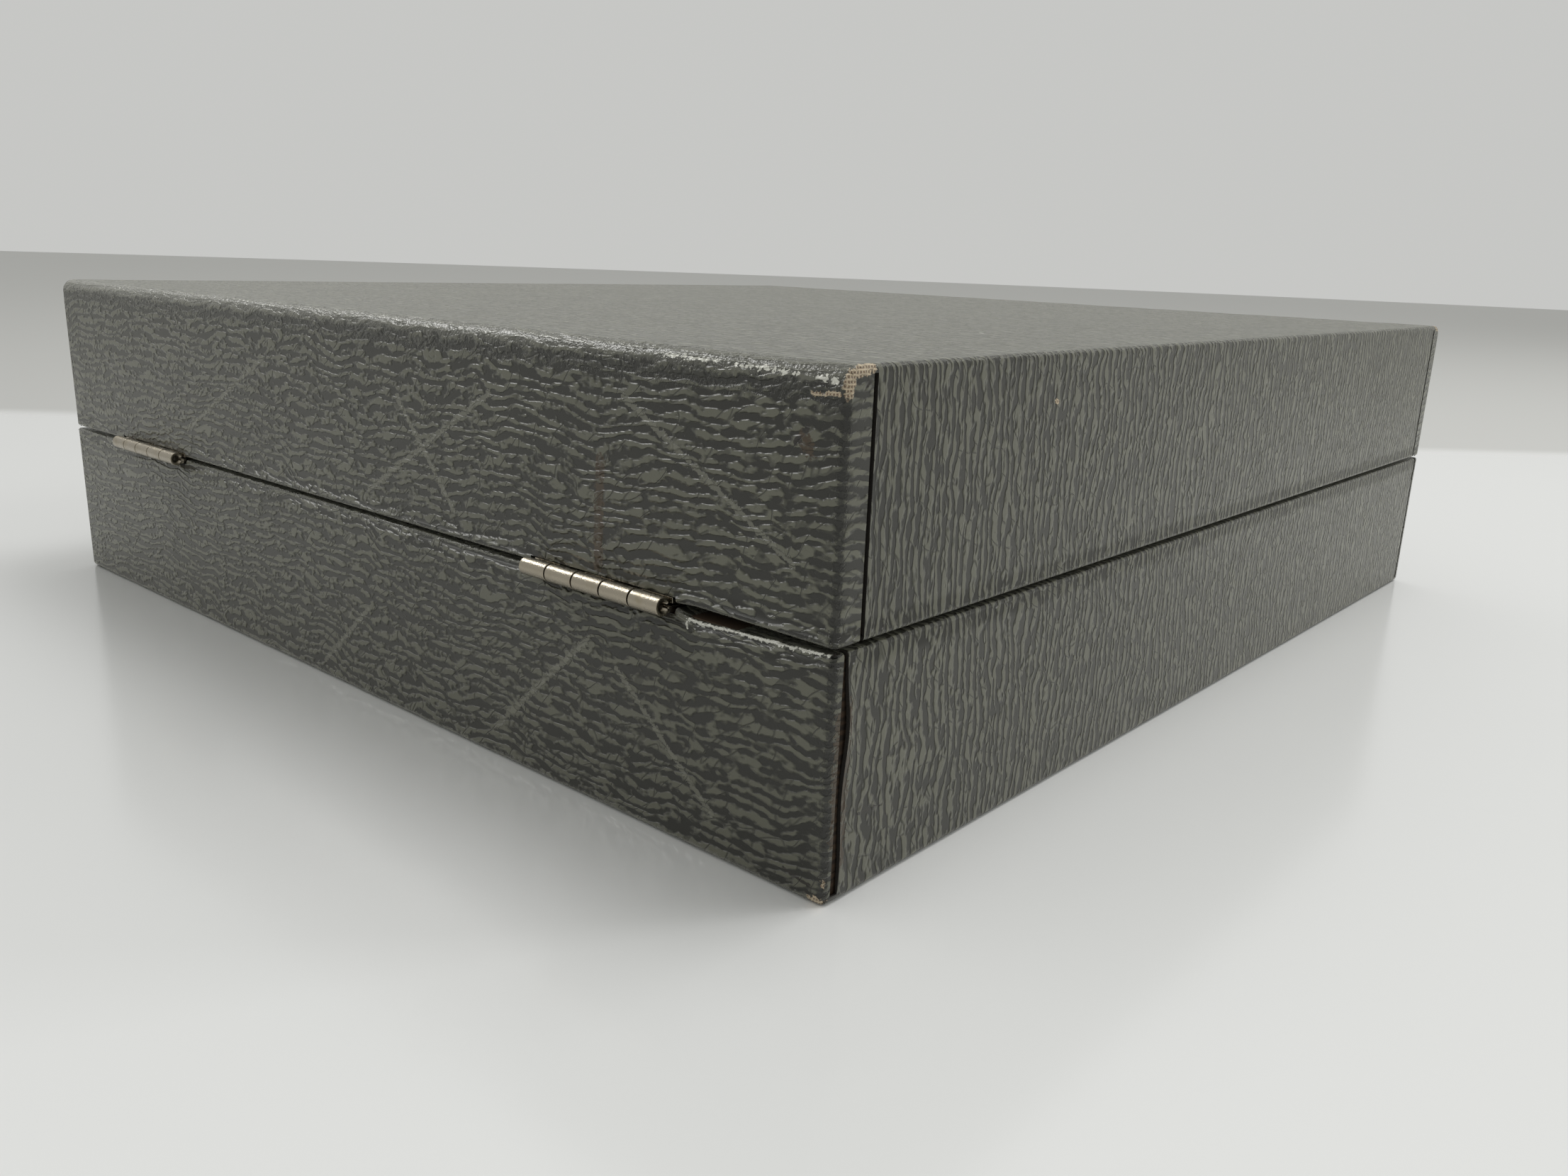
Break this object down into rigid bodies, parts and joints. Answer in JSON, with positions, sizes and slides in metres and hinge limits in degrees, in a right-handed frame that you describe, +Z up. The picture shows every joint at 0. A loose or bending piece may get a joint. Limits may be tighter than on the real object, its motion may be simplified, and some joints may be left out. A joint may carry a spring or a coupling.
{
  "type": "type case",
  "caption": "Flat hinged case covered in dark grey leatherette, with a tray of long compartments for standing type in its base, a thick lid pad and a front catch.",
  "frame": {"origin": "on the surface it stands on, under the middle of the closed case", "axes": "+Z up, +Y towards the hinges, -Y towards the catch, X along the hinge edge with left (-X) as seen from the catch"},
  "size_m": [0.217, 0.2362, 0.0635],
  "materials": {
    "leatherette": "satin",
    "plywood": "matte",
    "lining_paper": "matte",
    "foam": "matte",
    "beech": "satin",
    "nickel": "satin"
  },
  "bodies": {
    "base": {"base_back_wall": "plywood", "base_board": "plywood", "base_cover": "leatherette", "base_front_wall": "plywood", "base_left_wall": "plywood", "base_lining": "lining_paper", "base_right_wall": "plywood", "catch_keeper": "nickel", "catch_keeper_nail_1": "nickel", "catch_keeper_nail_2": "nickel", "left_hinge_base_leaf": "nickel", "left_hinge_base_nail_1": "nickel", "left_hinge_base_nail_2": "nickel", "left_hinge_pin": "nickel", "right_hinge_base_leaf": "nickel", "right_hinge_base_nail_1": "nickel", "right_hinge_base_nail_2": "nickel", "right_hinge_pin": "nickel", "tray_back_rail": "beech", "tray_divider_1": "beech", "tray_divider_10": "beech", "tray_divider_11": "beech", "tray_divider_12": "beech", "tray_divider_13": "beech", "tray_divider_2": "beech", "tray_divider_3": "beech", "tray_divider_4": "beech", "tray_divider_5": "beech", "tray_divider_6": "beech", "tray_divider_7": "beech", "tray_divider_8": "beech", "tray_divider_9": "beech", "tray_floor": "beech", "tray_front_rail": "beech", "tray_left_rail": "beech", "tray_right_rail": "beech", "tray_spine": "beech"},
    "lid": {"catch_pin": "nickel", "catch_plate": "nickel", "catch_plate_nail_1": "nickel", "catch_plate_nail_2": "nickel", "left_hinge_lid_leaf": "nickel", "left_hinge_lid_nail_1": "nickel", "left_hinge_lid_nail_2": "nickel", "lid_back_wall": "plywood", "lid_board": "plywood", "lid_cover": "leatherette", "lid_front_wall": "plywood", "lid_left_wall": "plywood", "lid_lining": "lining_paper", "lid_pad": "foam", "lid_right_wall": "plywood", "right_hinge_lid_leaf": "nickel", "right_hinge_lid_nail_1": "nickel", "right_hinge_lid_nail_2": "nickel"},
    "hasp": {"catch_hasp": "nickel"}
  },
  "joints": [
    {"name": "lid_hinge", "type": "hinge", "parent": "base", "child": "lid", "pos_m": [0, 0.11665, 0.03175], "axis": [-1, 0, 0], "range_deg": [0, 180]},
    {"name": "hasp_pivot", "type": "hinge", "parent": "lid", "child": "hasp", "pos_m": [0, -0.11645, 0.03435], "axis": [-1, 0, 0], "range_deg": [0, 130]}
  ]
}
